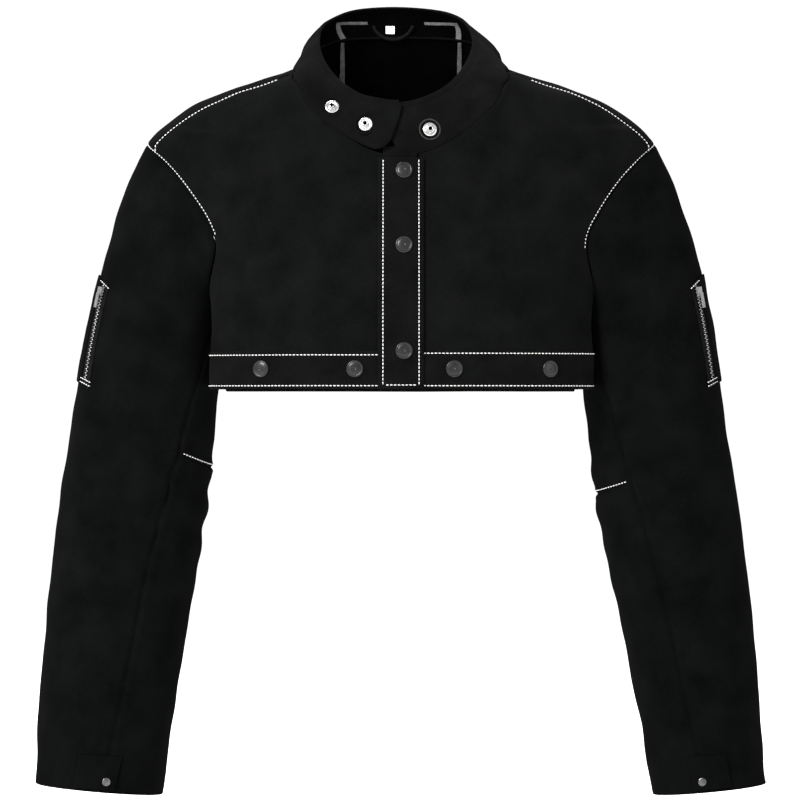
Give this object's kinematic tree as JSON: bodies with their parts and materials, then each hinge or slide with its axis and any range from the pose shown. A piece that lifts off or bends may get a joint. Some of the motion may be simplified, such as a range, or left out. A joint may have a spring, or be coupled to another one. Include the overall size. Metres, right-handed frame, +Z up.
{
  "type": "cropped leather welding jacket",
  "caption": "Cropped split-leather welding jacket with long two-piece sleeves, band collar with throat tab, snap placket, snap hem for a bib, and zipped sleeve pockets.",
  "frame": {"origin": "middle of the neck at the height where collar and shoulder meet", "axes": "+Z up, -Y to the front, +X to the wearer's left"},
  "size_m": [0.726, 0.2541, 0.7824],
  "materials": {
    "suede": "napped split leather, black",
    "suede_band": "folded napped split leather, black, stitched in white",
    "snap_black": "black enamelled snap cap",
    "snap_silver": "bright nickel snap",
    "zip_metal": "worn nickel zip slider",
    "tape": "woven tape",
    "label": "blank woven label"
  },
  "bodies": {
    "torso": {"back_centre": "suede", "back_side_left": "suede", "back_side_right": "suede", "back_hem": "suede_band", "front_side_left": "suede", "front_side_right": "suede", "hem_side_left": "suede_band", "hem_side_right": "suede_band", "collar_back": "suede_band", "seam_tape_left": "tape", "seam_tape_right": "tape", "size_label": "label"},
    "front_left": {"front_panel_left": "suede", "front_fold_left": "suede", "hem_front_left": "suede_band", "placket_left": "suede_band", "collar_front_left": "suede_band", "collar_fold_left": "suede_band", "placket_caps": "snap_black", "hem_caps_left": "snap_black", "hem_sockets_left": "snap_silver", "collar_stud_left": "snap_silver"},
    "front_right": {"front_panel_right": "suede", "front_fold_right": "suede", "hem_front_right": "suede_band", "placket_right": "suede_band", "collar_front_right": "suede_band", "collar_fold_right": "suede_band", "placket_studs": "snap_silver", "hem_caps_right": "snap_black", "hem_sockets_right": "snap_silver", "collar_stud_right": "snap_silver"},
    "throat_tab": {"collar_tab": "suede_band", "collar_tab_fold": "suede_band", "collar_stud_tab": "snap_silver"},
    "hanger": {"hanger_loop": "tape"},
    "upper_sleeve_left": {"sleeve_head_left": "suede", "sleeve_upper_outer_left": "suede", "sleeve_upper_inner_left": "suede", "pocket_left": "suede", "pocket_zip_left": "tape"},
    "forearm_left": {"sleeve_elbow_left": "suede", "forearm_outer_left": "suede", "forearm_inner_left": "suede", "cuff_facing_left": "suede_band"},
    "cuff_tab_left": {"cuff_tab_left": "suede_band", "cuff_cap_left": "snap_black"},
    "zip_slider_left": {"zip_slider_left": "zip_metal"},
    "upper_sleeve_right": {"sleeve_head_right": "suede", "sleeve_upper_outer_right": "suede", "sleeve_upper_inner_right": "suede", "pocket_right": "suede", "pocket_zip_right": "tape"},
    "forearm_right": {"sleeve_elbow_right": "suede", "forearm_outer_right": "suede", "forearm_inner_right": "suede", "cuff_facing_right": "suede_band"},
    "cuff_tab_right": {"cuff_tab_right": "suede_band", "cuff_cap_right": "snap_black"},
    "zip_slider_right": {"zip_slider_right": "zip_metal"}
  },
  "joints": [
    {"name": "front_left_open", "type": "hinge", "parent": "torso", "child": "front_left", "pos_m": [0.128, -0.084, -0.1795], "axis": [-0.2772, 0.0416, 0.9599], "range_deg": [0, 60], "deforming": ["front_fold_left", "collar_fold_left"]},
    {"name": "front_right_open", "type": "hinge", "parent": "torso", "child": "front_right", "pos_m": [-0.128, -0.084, -0.1795], "axis": [-0.2772, -0.0416, -0.9599], "range_deg": [0, 30], "deforming": ["front_fold_right", "collar_fold_right"]},
    {"name": "throat_tab_open", "type": "hinge", "parent": "front_right", "child": "throat_tab", "pos_m": [-0.04957, -0.0746, -0.04902], "axis": [0, 0, -1], "range_deg": [0, 90], "deforming": ["collar_tab_fold"]},
    {"name": "hanger_swing", "type": "hinge", "parent": "torso", "child": "hanger", "pos_m": [-0.008, 0.06899, 0.049], "axis": [-1, 0, 0], "range_deg": [0, 120]},
    {"name": "shoulder_raise_left", "type": "hinge", "parent": "torso", "child": "upper_sleeve_left", "pos_m": [0.222, 0.002, -0.13], "axis": [0, -1, 0], "range_deg": [0, 60], "deforming": ["sleeve_head_left"]},
    {"name": "elbow_bend_left", "type": "hinge", "parent": "upper_sleeve_left", "child": "forearm_left", "pos_m": [0.2612, -0.00651, -0.40167], "axis": [-1, 0, 0], "range_deg": [0, 70], "deforming": ["sleeve_elbow_left"]},
    {"name": "cuff_tab_open_left", "type": "hinge", "parent": "forearm_left", "child": "cuff_tab_left", "pos_m": [0.32285, -0.08735, -0.69932], "axis": [-0.175, 0.0524, 0.9832], "range_deg": [0, 75]},
    {"name": "zip_pull_left", "type": "slide", "parent": "upper_sleeve_left", "child": "zip_slider_left", "axis": [0.1776, -0.0274, -0.9837], "range_m": [0, 0.0768]},
    {"name": "shoulder_raise_right", "type": "hinge", "parent": "torso", "child": "upper_sleeve_right", "pos_m": [-0.222, 0.002, -0.13], "axis": [0, 1, 0], "range_deg": [0, 60], "deforming": ["sleeve_head_right"]},
    {"name": "elbow_bend_right", "type": "hinge", "parent": "upper_sleeve_right", "child": "forearm_right", "pos_m": [-0.26307, -0.00651, -0.40167], "axis": [-1, 0, 0], "range_deg": [0, 70], "deforming": ["sleeve_elbow_right"]},
    {"name": "cuff_tab_open_right", "type": "hinge", "parent": "forearm_right", "child": "cuff_tab_right", "pos_m": [-0.31937, -0.08737, -0.69934], "axis": [-0.148, -0.0528, -0.9876], "range_deg": [0, 75]},
    {"name": "zip_pull_right", "type": "slide", "parent": "upper_sleeve_right", "child": "zip_slider_right", "axis": [-0.1969, -0.0274, -0.98], "range_m": [0, 0.0771]}
  ],
  "couplings": [
    {"joint": "front_right_open", "follows": "front_left_open", "ratio": 0.5},
    {"joint": "throat_tab_open", "follows": "front_left_open", "ratio": 1.5}
  ]
}
